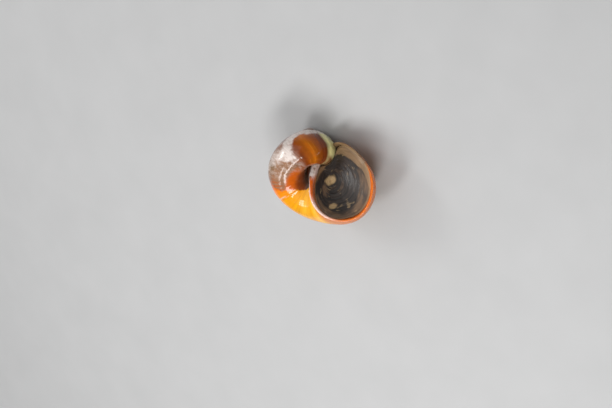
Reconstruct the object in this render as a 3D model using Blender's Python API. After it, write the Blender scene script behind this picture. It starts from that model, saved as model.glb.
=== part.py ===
"""Apple snail, drawn in behind its operculum and lying on the back of its shell.

The shell is one logarithmic spiral surface. An egg-shaped section turns about the
shell's axis and shrinks towards the apex, and every piece is built on that surface.

Shell frame: the apex is at the origin and +Z leaves it along the axis. The mouth's
edge starts in the half-plane of +X and faces -Y. A place on a whorl has two angles:
back, walked from the mouth's edge towards the apex, and around, walked round the
section from its outer side (0) over the top (a quarter turn) to the axis (a half turn).
"""

import math

import bmesh
import bpy
import numpy as np
from mathutils import Matrix, Vector

MM = 0.001
TURN = 2 * math.pi

# The whorl: its section at the mouth, and how it winds
HALF_HEIGHT = 17.6 * MM
HALF_WIDTH = 0.703 * HALF_HEIGHT
TOP_NARROWING = 0.311
SHOULDER_FULLNESS = 0.024
BASE_FULLNESS = -0.063
SECTION_TILT = math.radians(13.1)
AXIS_DISTANCE = 1.065 * HALF_WIDTH
APEX_DISTANCE = 1.705 * HALF_HEIGHT
WHORL_GROWTH = 2.19
GROWTH_RATE = math.log(WHORL_GROWTH) / TURN

# The mouth: how its edge reaches forward over the top and on the outer side, and how it flares
MOUTH_RAKE = -0.238
MOUTH_SPLAY = -0.296
FLARE = 0.078
FLARE_REACH = 1.6

# Walls, lips and gaps
GAP = 0.3 * MM
AXIS_CLEARANCE = 0.02 * MM
WALL = 0.8 * MM
COLUMELLA_WALL = 1.3 * MM
COLUMELLA_SPREAD = math.radians(50)
CAVITY_DEPTH = 0.62
LIP_RADIUS = 0.5 * MM
COLUMELLAR_LIP_RADIUS = 1.05 * MM
LIP_MEETING = math.radians(-112)
SUTURE_SIDE = math.radians(112)
UMBILICUS_SIDE = math.radians(-234)
CALLUS_START = math.radians(-140)
CALLUS_REACH = 2.6 * MM

# Operculum and foot
OPERCULUM_SEAT = 0.045
OPERCULUM_MARGIN = 0.5 * MM
OPERCULUM_THICKNESS = 0.9 * MM
OPERCULUM_DISH = 0.7 * MM
RIM_THINNING = 0.4
BACK_RINGS = 4
NUCLEUS_ACROSS = -0.39
NUCLEUS_UP = 0.2
GROWTH_RINGS = 6
RING_HEIGHT = 0.16 * MM
FOOT_DEPTH = 0.5
FRONT_CLEARANCE = 4 * MM

# Where the whorls are parted, as angles back from the mouth
NEW_GROWTH_END = 0.5 * TURN
BODY_END = TURN
PENULTIMATE_END = 2 * TURN
SPIRE_END = 3 * TURN
APEX_END = 3.8 * TURN

# How it lies: the way down and the way the mouth looks, in the shell frame
DOWN = Vector((0.403, 0.555, 0.728)).normalized()
MOUTH_TURN = math.radians(18.6)
MOUTH_DIP = math.radians(38.6)
FLAT_DEPTH = 0.25 * MM
FLOOR_BLOCK = 0.2

# Fineness
STEP = TURN / 36
SPIRE_STEP = TURN / 24
SECTION_SIDES = 36
SPIRE_SIDES = 20
APEX_SIDES = 12
CUTTER_LEAD = 1.0
LIP_SIDES = 10
NUDGE = 0.001
SMOOTH_ANGLE = math.radians(35)

# Colour and roughness of each piece, wet and glossy
FINISHES = {
    "shell_new_growth": ((0.62, 0.30, 0.04), 0.2),
    "shell_body_whorl": ((0.20, 0.11, 0.05), 0.2),
    "shell_penultimate_whorl": ((0.26, 0.15, 0.07), 0.25),
    "shell_spire_whorl": ((0.36, 0.25, 0.16), 0.3),
    "shell_apex": ((0.62, 0.54, 0.48), 0.4),
    "shell_outer_lip": ((0.66, 0.29, 0.07), 0.2),
    "shell_columellar_lip": ((0.70, 0.52, 0.44), 0.2),
    "operculum": ((0.035, 0.028, 0.022), 0.3),
    "foot": ((0.05, 0.04, 0.03), 0.3),
}


def mix(low, high, share):
    return low + (high - low) * share


def columella_share(around):
    """1 on the axis side of the section, fading to 0 towards its outer side."""
    off = np.abs((np.asarray(around) + math.pi + math.pi) % TURN - math.pi)
    return np.exp(-((off / COLUMELLA_SPREAD) ** 2))


def section(around):
    """The whorl's section at the mouth: how far out from its middle, and how far up."""
    side, up = np.cos(around), np.sin(around)
    shoulder = (2 * np.maximum(side, 0) * np.maximum(up, 0)) ** 2
    base = (2 * np.maximum(side, 0) * np.maximum(-up, 0)) ** 2
    fullness = 1 + SHOULDER_FULLNESS * shoulder + BASE_FULLNESS * base
    across = HALF_WIDTH * fullness * side * (1 - TOP_NARROWING * up)
    return np.stack([across, HALF_HEIGHT * fullness * up])


def whorl(back, around, inset=0.0, slant=1.0, share=1.0):
    """Points of the shell's surface. slant 1 keeps to a growth line and slant 0 to a plane
    through the axis, inset is a depth under the surface, and share draws the ring inwards."""
    around = np.asarray(around, float)
    turn = back + slant * share * (MOUTH_RAKE * np.sin(around) + MOUTH_SPLAY * np.cos(around))
    scale = np.exp(-GROWTH_RATE * turn)
    scale = scale * (1 + FLARE * np.exp(-((np.maximum(turn, 0) / FLARE_REACH) ** 2)))
    rate = section(around + NUDGE) - section(around - NUDGE)
    rate /= np.hypot(*rate)
    across, along = share * section(around)
    across = across - inset / scale * rate[1]
    along = along + inset / scale * rate[0]
    cos_tilt, sin_tilt = math.cos(SECTION_TILT), math.sin(SECTION_TILT)
    radius = scale * (AXIS_DISTANCE + across * cos_tilt - along * sin_tilt)
    radius = np.maximum(radius, AXIS_CLEARANCE)
    height = scale * (-APEX_DISTANCE + across * sin_tilt + along * cos_tilt)
    return np.stack([radius * np.cos(turn), radius * np.sin(turn), height], -1)


def around_angles(sides):
    return np.linspace(0, TURN, sides, endpoint=False)


def loft(name, rings, closed=False):
    """A body through rings of points. A ring of one point makes a cap, and closed joins
    the last ring to the first."""
    shape = bmesh.new()
    rows = [[shape.verts.new(p) for p in np.atleast_2d(ring)] for ring in rings]
    pairs = list(zip(rows, rows[1:]))
    if closed:
        pairs.append((rows[-1], rows[0]))
    for row, following in pairs:
        for i in range(max(len(row), len(following))):
            corners = [row[i % len(row)], row[(i + 1) % len(row)]]
            corners += [following[(i + 1) % len(following)], following[i % len(following)]]
            shape.faces.new(list(dict.fromkeys(corners)))
    bmesh.ops.recalc_face_normals(shape, faces=shape.faces)
    mesh = bpy.data.meshes.new(name)
    shape.to_mesh(mesh)
    shape.free()
    obj = bpy.data.objects.new(name, mesh)
    bpy.context.scene.collection.objects.link(obj)
    return obj


def backs(start, end, step=STEP):
    return np.linspace(start, end, max(2, round((end - start) / step) + 1))


def half_gap(back):
    """Half the gap between two lengths of the whorl, as an angle about the axis."""
    return 0.5 * GAP / (AXIS_DISTANCE * math.exp(-GROWTH_RATE * back))


def whorl_body(name, start, end, sides, grow=0.0, slants=(0.0, 0.0)):
    """The solid whorl from start to end, with slants of its two ends."""
    around = around_angles(sides)
    step = STEP if sides == SECTION_SIDES else SPIRE_STEP
    rings = [whorl(start, 0.0, slant=slants[0], share=0.0)]
    rings.append(whorl(start, around, slant=slants[0], share=0.5))
    for back in backs(start, end, step):
        slant = mix(*slants, (back - start) / (end - start))
        rings.append(whorl(back, around, inset=-grow, slant=slant))
    rings.append(whorl(end, around, slant=slants[1], share=0.5))
    rings.append(whorl(end, 0.0, slant=slants[1], share=0.0))
    return loft(name, rings)


def keep_largest(obj):
    """Deletes every loose body of the mesh but the largest."""
    shape = bmesh.new()
    shape.from_mesh(obj.data)
    left = set(shape.verts)
    groups = []
    while left:
        group = set()
        front = [left.pop()]
        while front:
            vert = front.pop()
            group.add(vert)
            near = {edge.other_vert(vert) for edge in vert.link_edges} & left
            left -= near
            front.extend(near)
        groups.append(group)
    groups.sort(key=len)
    loose = [vert for group in groups[:-1] for vert in group]
    bmesh.ops.delete(shape, geom=loose, context="VERTS")
    shape.to_mesh(obj.data)
    shape.free()


def cut(obj, *cutters):
    """Takes the cutters out of the body and keeps what is left in one piece."""
    for cutter in cutters:
        modifier = obj.modifiers.new("cut", "BOOLEAN")
        modifier.operation = "DIFFERENCE"
        modifier.solver = "EXACT"
        modifier.object = cutter
    depsgraph = bpy.context.evaluated_depsgraph_get()
    mesh = bpy.data.meshes.new_from_object(obj.evaluated_get(depsgraph))
    obj.modifiers.clear()
    obj.data = mesh
    mesh.name = obj.name
    keep_largest(obj)
    return obj


def cavity_inset(around):
    return mix(WALL, COLUMELLA_WALL, columella_share(around))


def new_growth():
    """The last half turn, solid but for the hollow of the mouth."""
    around = around_angles(SECTION_SIDES)
    hollow = cavity_inset(around)
    rings = [whorl(CAVITY_DEPTH, 0.0, share=0.0)]
    rings += [whorl(back, around, inset=hollow) for back in backs(0.0, CAVITY_DEPTH)[::-1]]
    end = NEW_GROWTH_END - half_gap(NEW_GROWTH_END)
    rings += [whorl(back, around) for back in backs(0.0, end)]
    rings.append(whorl(end, around, share=0.5))
    rings.append(whorl(end, 0.0, share=0.0))
    return loft("shell_new_growth", rings)


def callus_spread(around):
    """How far the lip spreads out over the umbilicus, towards its upper end."""
    share = np.clip((CALLUS_START - around) / (CALLUS_START - UMBILICUS_SIDE), 0, 1)
    return CALLUS_REACH * share * share * (3 - 2 * share)


def lip(name, start, end, grow=0.0):
    """A rounded bead along the mouth's edge, turned out over the umbilicus by the axis."""
    around = np.linspace(start, end, round(abs(end - start) / STEP) + 1)
    spread = callus_spread(around) / 2
    radius = mix(LIP_RADIUS, COLUMELLAR_LIP_RADIUS, columella_share(around))
    centre_depth = 2 * LIP_RADIUS - radius
    line = whorl(0.0, around, inset=centre_depth)
    along = np.gradient(line, axis=0)
    along /= np.linalg.norm(along, axis=1)[:, None]
    outward = line - whorl(0.0, around, inset=centre_depth + MM)
    outward -= (outward * along).sum(1)[:, None] * along
    outward /= np.linalg.norm(outward, axis=1)[:, None]
    sideways = np.cross(along, outward)
    angles = around_angles(LIP_SIDES)[:, None]
    rings = [line[0]]
    for centre, out, side, size, wide in zip(line, outward, sideways, radius + grow, spread):
        middle = centre + wide * out
        rings.append(middle + (size + wide) * np.cos(angles) * out + size * np.sin(angles) * side)
    rings.append(middle)
    return loft(name, rings)


def mouth_point(across, up):
    """A point of the sheet that the operculum lies in, from its place in a unit circle."""
    return whorl(OPERCULUM_SEAT, np.arctan2(up, across), share=np.hypot(across, up))


def plate_ring(ring, depth, margin):
    """One ring of the operculum, from 0 at its nucleus to 1 at its rim."""
    around = around_angles(SECTION_SIDES)
    reach = mix(HALF_WIDTH, HALF_HEIGHT, np.abs(np.sin(around)))
    share = 1 - (cavity_inset(around) + margin) / reach
    across = mix(NUCLEUS_ACROSS, share * np.cos(around), ring)
    up = mix(NUCLEUS_UP, share * np.sin(around), ring)
    point = mouth_point(across, up)
    to_side = mouth_point(across + NUDGE, up) - point
    to_top = mouth_point(across, up + NUDGE) - point
    inward = np.cross(to_top, to_side)
    inward /= np.linalg.norm(inward, axis=1)[:, None]
    points = point + depth * inward
    return points if ring > 0 else points[0]


def dish(ring):
    return OPERCULUM_DISH * (1 - ring**2)


def plate(name, margin, front, back, steps):
    """A dished plate across the mouth, from the depth front(ring) to the depth back(ring)."""
    front_steps = np.linspace(0, 1, steps + 1)
    back_steps = np.linspace(1, 0, BACK_RINGS + 1)
    rings = [plate_ring(ring, dish(ring) + front(ring), margin) for ring in front_steps]
    rings += [plate_ring(ring, dish(ring) + back(ring), margin) for ring in back_steps]
    return loft(name, rings)


def growth_ring(ring):
    """Raised growth rings: each step of the front lies lower than the one outside it."""
    return 0.0 if round(ring * 2 * GROWTH_RINGS) % 2 else -RING_HEIGHT * ring


def operculum():
    def back(ring):
        return OPERCULUM_THICKNESS * (1 - RIM_THINNING * ring)

    return plate("operculum", OPERCULUM_MARGIN, growth_ring, back, 2 * GROWTH_RINGS)


def foot():
    """The foot, drawn into the mouth, with the operculum on its face."""
    around = around_angles(SECTION_SIDES)
    inset = cavity_inset(around) + GAP
    rings = [whorl(OPERCULUM_SEAT, 0.0, share=0.0)]
    rings += [whorl(back, around, inset=inset) for back in backs(OPERCULUM_SEAT, FOOT_DEPTH)]
    rings.append(whorl(FOOT_DEPTH, 0.0, share=0.0))
    body = loft("foot", rings)

    def front(ring):
        return -FRONT_CLEARANCE

    def back(ring):
        return OPERCULUM_THICKNESS + GAP

    return cut(body, hide(plate("before_foot", 0.0, front, back, BACK_RINGS)))


def hide(cutter):
    cutter.hide_render = True
    cutter.display_type = "WIRE"
    return cutter


def older_turn(start, end, name):
    """What the next older turn of the shell, and the gap round it, takes from a newer piece."""
    sides = SECTION_SIDES if start < PENULTIMATE_END else SPIRE_SIDES
    return hide(whorl_body(name, start, end, sides, grow=GAP))


def build_shell():
    """Every piece in the shell frame."""
    inner = older_turn(BODY_END - CUTTER_LEAD, NEW_GROWTH_END + TURN + CUTTER_LEAD, "inside_new_growth")
    lip_seat = hide(lip("lip_seat", SUTURE_SIDE, UMBILICUS_SIDE, grow=GAP))
    meeting_gap = 0.5 * GAP / HALF_HEIGHT
    pieces = [
        cut(new_growth(), inner, lip_seat),
        cut(lip("shell_outer_lip", LIP_MEETING + meeting_gap, SUTURE_SIDE), inner),
        cut(lip("shell_columellar_lip", LIP_MEETING - meeting_gap, UMBILICUS_SIDE), inner),
        cut(operculum(), inner),
        cut(foot(), inner),
    ]
    older = [
        ("shell_body_whorl", NEW_GROWTH_END, BODY_END, SECTION_SIDES, 1.0),
        ("shell_penultimate_whorl", BODY_END, PENULTIMATE_END, SPIRE_SIDES, 0.0),
        ("shell_spire_whorl", PENULTIMATE_END, SPIRE_END, SPIRE_SIDES, 0.0),
        ("shell_apex", SPIRE_END, APEX_END, APEX_SIDES, 0.0),
    ]
    for name, start, end, sides, slant in older:
        first, last = start + half_gap(start), end - half_gap(end)
        body = whorl_body(name, first, last, sides, slants=(slant, 0.0))
        if end < APEX_END:
            next_end = min(end + TURN, APEX_END)
            cut(body, older_turn(start + TURN - slant * CUTTER_LEAD, next_end, "inside_" + name))
        pieces.append(body)
    return pieces


def lie_matrix():
    """Turns the shell frame so that DOWN points down and the mouth looks towards -Y."""
    flat = math.cos(MOUTH_DIP)
    facing = Vector((math.sin(MOUTH_TURN) * flat, -math.cos(MOUTH_TURN) * flat, -math.sin(MOUTH_DIP)))
    up = -DOWN
    forward = (facing.dot(up) * up - facing).normalized()
    return Matrix((forward.cross(up), forward, up)).to_4x4()


def lay_down(pieces):
    """Sets the pieces on z = 0 about the origin and trims the small flat they rest on."""
    turned = lie_matrix()
    corners = [turned @ vert.co for obj in pieces for vert in obj.data.vertices]
    low = Vector([min(c[i] for c in corners) for i in range(3)])
    high = Vector([max(c[i] for c in corners) for i in range(3)])
    middle = (low + high) / 2
    rest = bpy.data.objects.new("lie_of_shell", None)
    bpy.context.scene.collection.objects.link(rest)
    rest.matrix_world = Matrix.Translation((-middle.x, -middle.y, -low.z - FLAT_DEPTH)) @ turned
    for obj in pieces:
        obj.parent = rest
    bpy.ops.mesh.primitive_cube_add(size=FLOOR_BLOCK, location=(0, 0, -FLOOR_BLOCK / 2))
    floor = hide(bpy.context.object)
    floor.name = "under_the_floor"
    bpy.context.view_layer.update()
    for obj in pieces:
        if min((obj.matrix_world @ vert.co).z for vert in obj.data.vertices) < 0:
            cut(obj, floor)


def material(name, colour, roughness):
    made = bpy.data.materials.new(name)
    made.use_nodes = True
    shader = made.node_tree.nodes["Principled BSDF"]
    shader.inputs["Base Color"].default_value = (*colour, 1.0)
    shader.inputs["Roughness"].default_value = roughness
    shader.inputs["Metallic"].default_value = 0.0
    return made


def finish(pieces):
    model = bpy.data.collections.new("apple_snail")
    cutters = bpy.data.collections.new("cutters")
    for collection in (model, cutters):
        bpy.context.scene.collection.children.link(collection)
    for obj in list(bpy.context.scene.collection.objects):
        bpy.context.scene.collection.objects.unlink(obj)
        (cutters if obj.hide_render else model).objects.link(obj)
    for obj in pieces:
        obj.data.materials.clear()
        obj.data.materials.append(material(obj.name, *FINISHES[obj.name]))
        obj.data.shade_smooth()
        obj.data.set_sharp_from_angle(angle=SMOOTH_ANGLE)


def main():
    for old in list(bpy.data.objects):
        bpy.data.objects.remove(old)
    pieces = build_shell()
    lay_down(pieces)
    finish(pieces)


main()
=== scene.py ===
"""The looks of the apple snail: a glossy shell with growth lines and a worn spire, its lips,
the ringed operculum that shuts it and the foot behind, on a pale floor in soft light.

Every skin follows the shell's own surface, an egg-shaped section that turns about the
shell's axis and shrinks towards the apex. A place on it has two angles: back, walked from
the mouth's edge towards the apex, and around, walked round the section from its outer
side (0) over the top (a quarter turn) to the axis (a half turn).
"""

import itertools
import math

import bpy
import numpy as np
from mathutils import Matrix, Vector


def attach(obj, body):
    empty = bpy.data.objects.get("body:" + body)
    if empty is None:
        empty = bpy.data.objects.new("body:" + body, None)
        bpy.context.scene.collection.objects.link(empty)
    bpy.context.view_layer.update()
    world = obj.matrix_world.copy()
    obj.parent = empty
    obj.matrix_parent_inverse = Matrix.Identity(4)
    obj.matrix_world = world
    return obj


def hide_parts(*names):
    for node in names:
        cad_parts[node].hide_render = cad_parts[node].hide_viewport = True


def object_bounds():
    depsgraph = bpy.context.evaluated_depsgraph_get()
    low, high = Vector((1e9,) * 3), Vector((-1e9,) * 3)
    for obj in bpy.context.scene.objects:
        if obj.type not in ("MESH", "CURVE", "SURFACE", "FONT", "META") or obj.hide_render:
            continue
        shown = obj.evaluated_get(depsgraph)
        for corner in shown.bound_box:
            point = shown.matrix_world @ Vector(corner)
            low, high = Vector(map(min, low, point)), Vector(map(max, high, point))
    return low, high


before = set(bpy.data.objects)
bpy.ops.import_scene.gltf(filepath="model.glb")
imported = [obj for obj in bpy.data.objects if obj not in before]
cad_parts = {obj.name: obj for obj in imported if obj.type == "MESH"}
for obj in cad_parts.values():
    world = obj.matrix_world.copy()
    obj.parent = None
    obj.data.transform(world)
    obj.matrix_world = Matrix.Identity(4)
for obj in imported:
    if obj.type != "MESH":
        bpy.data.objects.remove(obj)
cad_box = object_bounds()

MM = 0.001
TURN = 2 * math.pi

# The whorl, as in the solids
HALF_HEIGHT = 17.6 * MM
HALF_WIDTH = 0.703 * HALF_HEIGHT
TOP_NARROWING = 0.311
SHOULDER_FULLNESS = 0.024
BASE_FULLNESS = -0.063
SECTION_TILT = math.radians(13.1)
AXIS_DISTANCE = 1.065 * HALF_WIDTH
APEX_DISTANCE = 1.705 * HALF_HEIGHT
WHORL_GROWTH = 2.19
GROWTH_RATE = math.log(WHORL_GROWTH) / TURN
MOUTH_RAKE = -0.238
MOUTH_SPLAY = -0.296
FLARE = 0.078
FLARE_REACH = 1.6
AXIS_CLEARANCE = 0.05 * MM
NUDGE = 0.001

# Walls, lips, operculum and foot, as in the solids
WALL = 0.8 * MM
COLUMELLA_WALL = 1.3 * MM
COLUMELLA_SPREAD = math.radians(50)
LIP_RADIUS = 0.5 * MM
COLUMELLAR_LIP_RADIUS = 1.05 * MM
LIP_MEETING = math.radians(-112)
UMBILICUS_SIDE = math.radians(-234)
CALLUS_START = math.radians(-178)
CALLUS_REACH = 2.6 * MM
OPERCULUM_SEAT = 0.045
OPERCULUM_SINK = 0.03
LEDGE = 0.8 * MM
OPERCULUM_MARGIN = 0.22 * MM
OPERCULUM_THICKNESS = 0.9 * MM
OPERCULUM_DISH = 0.7 * MM
RIM_THINNING = 0.4
NUCLEUS_ACROSS = -0.39
NUCLEUS_UP = 0.2

# How it lies, as in the solids
DOWN = np.array([0.403, 0.555, 0.728])
MOUTH_TURN = math.radians(18.6)
MOUTH_DIP = math.radians(38.6)
FLAT_DEPTH = 0.25 * MM

# Where the photo's camera stood, in the shell frame
CAMERA_TURN = math.radians(18.59)
CAMERA_RISE = math.radians(-38.59)
CAMERA_ROLL = math.radians(0.97)
CAMERA_DISTANCE = 514 * MM
FOCAL_LENGTH = 70
SENSOR_WIDTH = 36
PICTURE = (612, 408)
APEX_IN_PICTURE = (309.8, 126.9)
LIGHT_AIM = 15 * MM

# The skin lies a little under the solids' surface, and its relief goes inwards from there
SKIN_DEPTH = 0.07 * MM
TUCK = 0.035
HIDDEN_DEPTH = 0.05
MOUTH_ROOM = 0.45

# The last part of the apex closes to a round tip
TIP_START = 3.66 * TURN
TIP_END = 3.79 * TURN

# Rows and columns of each length of skin
SKINS = {
    "shell_new_growth": (0.016, math.pi, 440, 210),
    "shell_body_whorl": (math.pi, TURN, 320, 190),
    "shell_penultimate_whorl": (TURN, 2 * TURN, 400, 150),
    "shell_spire_whorl": (2 * TURN, 3 * TURN, 260, 90),
    "shell_apex": (3 * TURN, TIP_END, 150, 60),
}


def mix(low, high, share):
    return low + (high - low) * share


def smooth(low, high, value):
    """0 below low, 1 above high and an eased step between them."""
    share = np.clip((value - low) / (high - low), 0, 1)
    return share * share * (3 - 2 * share)


def bump(value, centre, width):
    return np.exp(-(((value - centre) / width) ** 2))


# Seeded noise


def scattered(key):
    """Whole numbers to values between -1 and 1, the same each run."""
    key = key & 0xFFFFFFFF
    for shift, factor in ((15, 0x2C1B3C6D), (12, 0x297A2D39)):
        key = ((key ^ (key >> shift)) * factor) & 0xFFFFFFFF
    return (key ^ (key >> 15)) / 0x7FFFFFFF - 1


def noise(seed, *places):
    """Smooth noise from -1 to 1, one cell to a unit of each coordinate."""
    places = np.broadcast_arrays(*places)
    cells = [np.floor(place).astype(np.int64) for place in places]
    shares = [smooth(0, 1, place - cell) for place, cell in zip(places, cells)]
    total = 0
    for corner in itertools.product((0, 1), repeat=len(places)):
        weight, key = 1, seed * 7919
        for cell, share, step, prime in zip(cells, shares, corner, (73856093, 19349663, 83492791)):
            weight = weight * (share if step else 1 - share)
            key = key + (cell + step) * prime
        total = total + weight * scattered(key)
    return total


def layered(seed, octaves, *places):
    total = sum(0.5**i * noise(seed + i, *(place * 2**i for place in places)) for i in range(octaves))
    return total / (2 - 0.5 ** (octaves - 1))


# The shell's surface


def columella_share(around):
    off = np.abs((np.asarray(around) + TURN) % TURN - math.pi)
    return np.exp(-((off / COLUMELLA_SPREAD) ** 2))


def fullness(side, up):
    shoulder = (2 * np.maximum(side, 0) * np.maximum(up, 0)) ** 2
    base = (2 * np.maximum(side, 0) * np.maximum(-up, 0)) ** 2
    return 1 + SHOULDER_FULLNESS * shoulder + BASE_FULLNESS * base


def section(around):
    side, up = np.cos(around), np.sin(around)
    full = fullness(side, up)
    return np.stack([HALF_WIDTH * full * side * (1 - TOP_NARROWING * up), HALF_HEIGHT * full * up])


def scale_at(turn):
    scale = np.exp(-GROWTH_RATE * turn)
    return scale * (1 + FLARE * np.exp(-((np.maximum(turn, 0) / FLARE_REACH) ** 2)))


def turn_at(back, around, share=1.0):
    return back + share * (MOUTH_RAKE * np.sin(around) + MOUTH_SPLAY * np.cos(around))


def surface(back, around, inset=0.0, share=1.0):
    """Points of the shell's surface, as in the solids."""
    back, around = np.broadcast_arrays(np.asarray(back, float), np.asarray(around, float))
    turn = turn_at(back, around, share)
    scale = scale_at(turn)
    rate = section(around + NUDGE) - section(around - NUDGE)
    rate /= np.hypot(*rate)
    across, along = share * section(around)
    across = across - inset / scale * rate[1]
    along = along + inset / scale * rate[0]
    cos_tilt, sin_tilt = math.cos(SECTION_TILT), math.sin(SECTION_TILT)
    radius = scale * (AXIS_DISTANCE + across * cos_tilt - along * sin_tilt)
    radius = np.maximum(radius, AXIS_CLEARANCE * scale)
    height = scale * (-APEX_DISTANCE + across * sin_tilt + along * cos_tilt)
    return np.stack([radius * np.cos(turn), radius * np.sin(turn), height], -1)


def reach_in_whorl(points, turn):
    """How far out the points lie in the whorl that passes at that turn: 1 on its surface, and
    less inside it. Also gives where round that whorl's section they are."""
    scale = scale_at(turn)
    out = np.hypot(points[..., 0], points[..., 1]) / scale - AXIS_DISTANCE
    high = points[..., 2] / scale + APEX_DISTANCE
    cos_tilt, sin_tilt = math.cos(SECTION_TILT), math.sin(SECTION_TILT)
    across = (out * cos_tilt + high * sin_tilt) / HALF_WIDTH
    along = (high * cos_tilt - out * sin_tilt) / HALF_HEIGHT
    around = np.arctan2(along, across)
    for _ in range(8):
        around = np.arctan2(along, across / (1 - TOP_NARROWING * np.sin(around)))
    side, up = np.cos(around), np.sin(around)
    reach = np.hypot(along, across / (1 - TOP_NARROWING * up)) / fullness(side, up)
    return reach, around


def normals_of(points):
    """The outward normals of a grid of points of the surface."""
    by_row = np.gradient(points, axis=0)
    by_column = np.gradient(points, axis=1)
    normal = np.cross(by_column, by_row)
    length = np.linalg.norm(normal, axis=-1, keepdims=True)
    return normal / np.maximum(length, 1e-12)


def length_at(back):
    """How far back a growth line is along the outer side, in mm."""
    return (AXIS_DISTANCE + HALF_WIDTH) / MM / GROWTH_RATE * (1 - np.exp(-GROWTH_RATE * back))


def back_at(length):
    return -np.log(1 - length * GROWTH_RATE * MM / (AXIS_DISTANCE + HALF_WIDTH)) / GROWTH_RATE


def edge_angle(back, sign):
    """Where, walking round from the outer side, the whorl meets the next older one."""
    arounds = sign * np.linspace(math.radians(40), math.radians(300), 521)
    grid_back = np.asarray(back)[:, None]
    points = surface(grid_back, arounds[None])
    reach, _ = reach_in_whorl(points, turn_at(grid_back, arounds[None]) + TURN)
    inside = reach < 1 - TUCK
    first = np.where(inside.any(1), inside.argmax(1), inside.shape[1] - 1)
    return arounds[first]


# Where everything lies


def lie_rotation():
    """Turns the shell frame so that DOWN points down and the mouth looks towards -Y."""
    up = -DOWN / np.linalg.norm(DOWN)
    flat = math.cos(MOUTH_DIP)
    facing = np.array([math.sin(MOUTH_TURN) * flat, -math.cos(MOUTH_TURN) * flat, -math.sin(MOUTH_DIP)])
    forward = facing.dot(up) * up - facing
    forward /= np.linalg.norm(forward)
    return np.stack([np.cross(forward, up), forward, up])


LIE = lie_rotation()


def rest_shift():
    """The shift that sets the turned shell where the solids stand."""
    backs = np.linspace(0, 2 * TURN, 900)[:, None]
    arounds = np.linspace(0, TURN, 720)[None]
    turned = surface(backs, arounds) @ LIE.T
    low, high = turned.min((0, 1)), turned.max((0, 1))
    low_x = min(low[0], high[0])
    apex = surface(np.linspace(2 * TURN, 3.8 * TURN, 300)[:, None], arounds) @ LIE.T
    low = np.minimum(low, apex.min((0, 1)))
    high = np.maximum(high, apex.max((0, 1)))
    box_low, box_high = (np.array(corner) for corner in cad_box)
    shift = (box_low + box_high) / 2 - (low + high) / 2
    shift[2] = -low[2] - FLAT_DEPTH
    return shift


SHIFT = rest_shift()


def placed(points):
    """Points of the shell frame in the row frame, kept on or above the floor."""
    moved = points @ LIE.T + SHIFT
    moved[..., 2] = np.maximum(moved[..., 2], 0)
    return moved


# The record of growth: colours and relief by place on the shell

DEG = math.pi / 180


def colour(red, green, blue):
    """A colour as it looks on a screen, from 0 to 255, as linear light."""
    value = np.array([red, green, blue]) / 255
    return np.where(value <= 0.04045, value / 12.92, ((value + 0.055) / 1.055) ** 2.4)


GOLD = colour(216, 146, 10)
GOLD_PALE = colour(230, 182, 70)
ORANGE = colour(226, 104, 0)
AMBER = colour(206, 112, 6)
RED_BROWN = colour(124, 56, 16)
DARK_BROWN = colour(84, 44, 18)
GREY_BROWN = colour(138, 100, 74)
OLIVE_YELLOW = colour(242, 234, 164)
OLIVE = colour(104, 86, 44)
UMBER = colour(62, 42, 28)
PINK_WHITE = colour(222, 192, 178)
# Pale white of the worn skin near the apex, also used for painted reflection and painted highlights.
WEAR_AND_GLARE_WHITE = colour(228, 216, 209)
WORN_GREY = colour(140, 128, 124)
TAN_BROWN = colour(134, 106, 76)
TAN = colour(174, 146, 104)

# Colours of the growth bands, by degrees back from the mouth
BANDS = [
    (0, ORANGE),
    (14, mix(GOLD, ORANGE, 0.7)),
    (36, mix(GOLD, ORANGE, 0.25)),
    (52, GOLD),
    (66, GOLD_PALE),
    (80, GOLD),
    (98, mix(GOLD, GOLD_PALE, 0.3)),
    (120, GOLD),
    (146, mix(GOLD, ORANGE, 0.2)),
    (164, mix(GOLD, ORANGE, 0.6)),
    (178, mix(ORANGE, RED_BROWN, 0.3)),
    (186, mix(RED_BROWN, GREY_BROWN, 0.6)),
    (196, GREY_BROWN),
    (214, mix(GREY_BROWN, OLIVE, 0.4)),
    (236, GREY_BROWN),
    (256, mix(GREY_BROWN, RED_BROWN, 0.6)),
    (268, RED_BROWN),
    (280, mix(RED_BROWN, AMBER, 0.3)),
    (287, mix(RED_BROWN, AMBER, 0.6)),
    (297, mix(RED_BROWN, AMBER, 0.5)),
    (306, mix(RED_BROWN, AMBER, 0.3)),
    (316, RED_BROWN),
    (326, mix(RED_BROWN, DARK_BROWN, 0.5)),
    (332, mix(DARK_BROWN, OLIVE_YELLOW, 0.7)),
    (337, OLIVE_YELLOW),
    (358, mix(OLIVE_YELLOW, OLIVE, 0.15)),
    (374, OLIVE),
    (392, RED_BROWN),
    (420, mix(RED_BROWN, OLIVE, 0.5)),
    (455, DARK_BROWN),
    (500, mix(RED_BROWN, GREY_BROWN, 0.5)),
    (560, DARK_BROWN),
    (640, GREY_BROWN),
    (760, mix(RED_BROWN, WORN_GREY, 0.4)),
    (900, GREY_BROWN),
    (1400, WORN_GREY),
]


# Thin yellow growth lines: degrees back and width in degrees
YELLOW_LINES = [(279, 0.5), (289, 0.7), (293, 0.9), (300, 0.5), (222, 0.8), (410, 1.0), (470, 1.2)]


def band_colour(degrees):
    places = [place for place, _ in BANDS]
    return np.stack([np.interp(degrees, places, [shade[i] for _, shade in BANDS]) for i in range(3)], -1)


def blend(base, over, share):
    return base + (over - base) * np.asarray(share)[..., None]


def wear_at(back, around):
    """0 where the skin of the shell is whole, 1 where it is worn through, near the apex."""
    turns = back / TURN
    length = length_at(back)
    patches = layered(71, 3, length / 3.5, around * 2.2 * np.exp(-GROWTH_RATE * back) * 4)
    return smooth(-0.08, 0.12, (turns - 1.75) * 0.55 + patches * 0.75 - 0.12)


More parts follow.
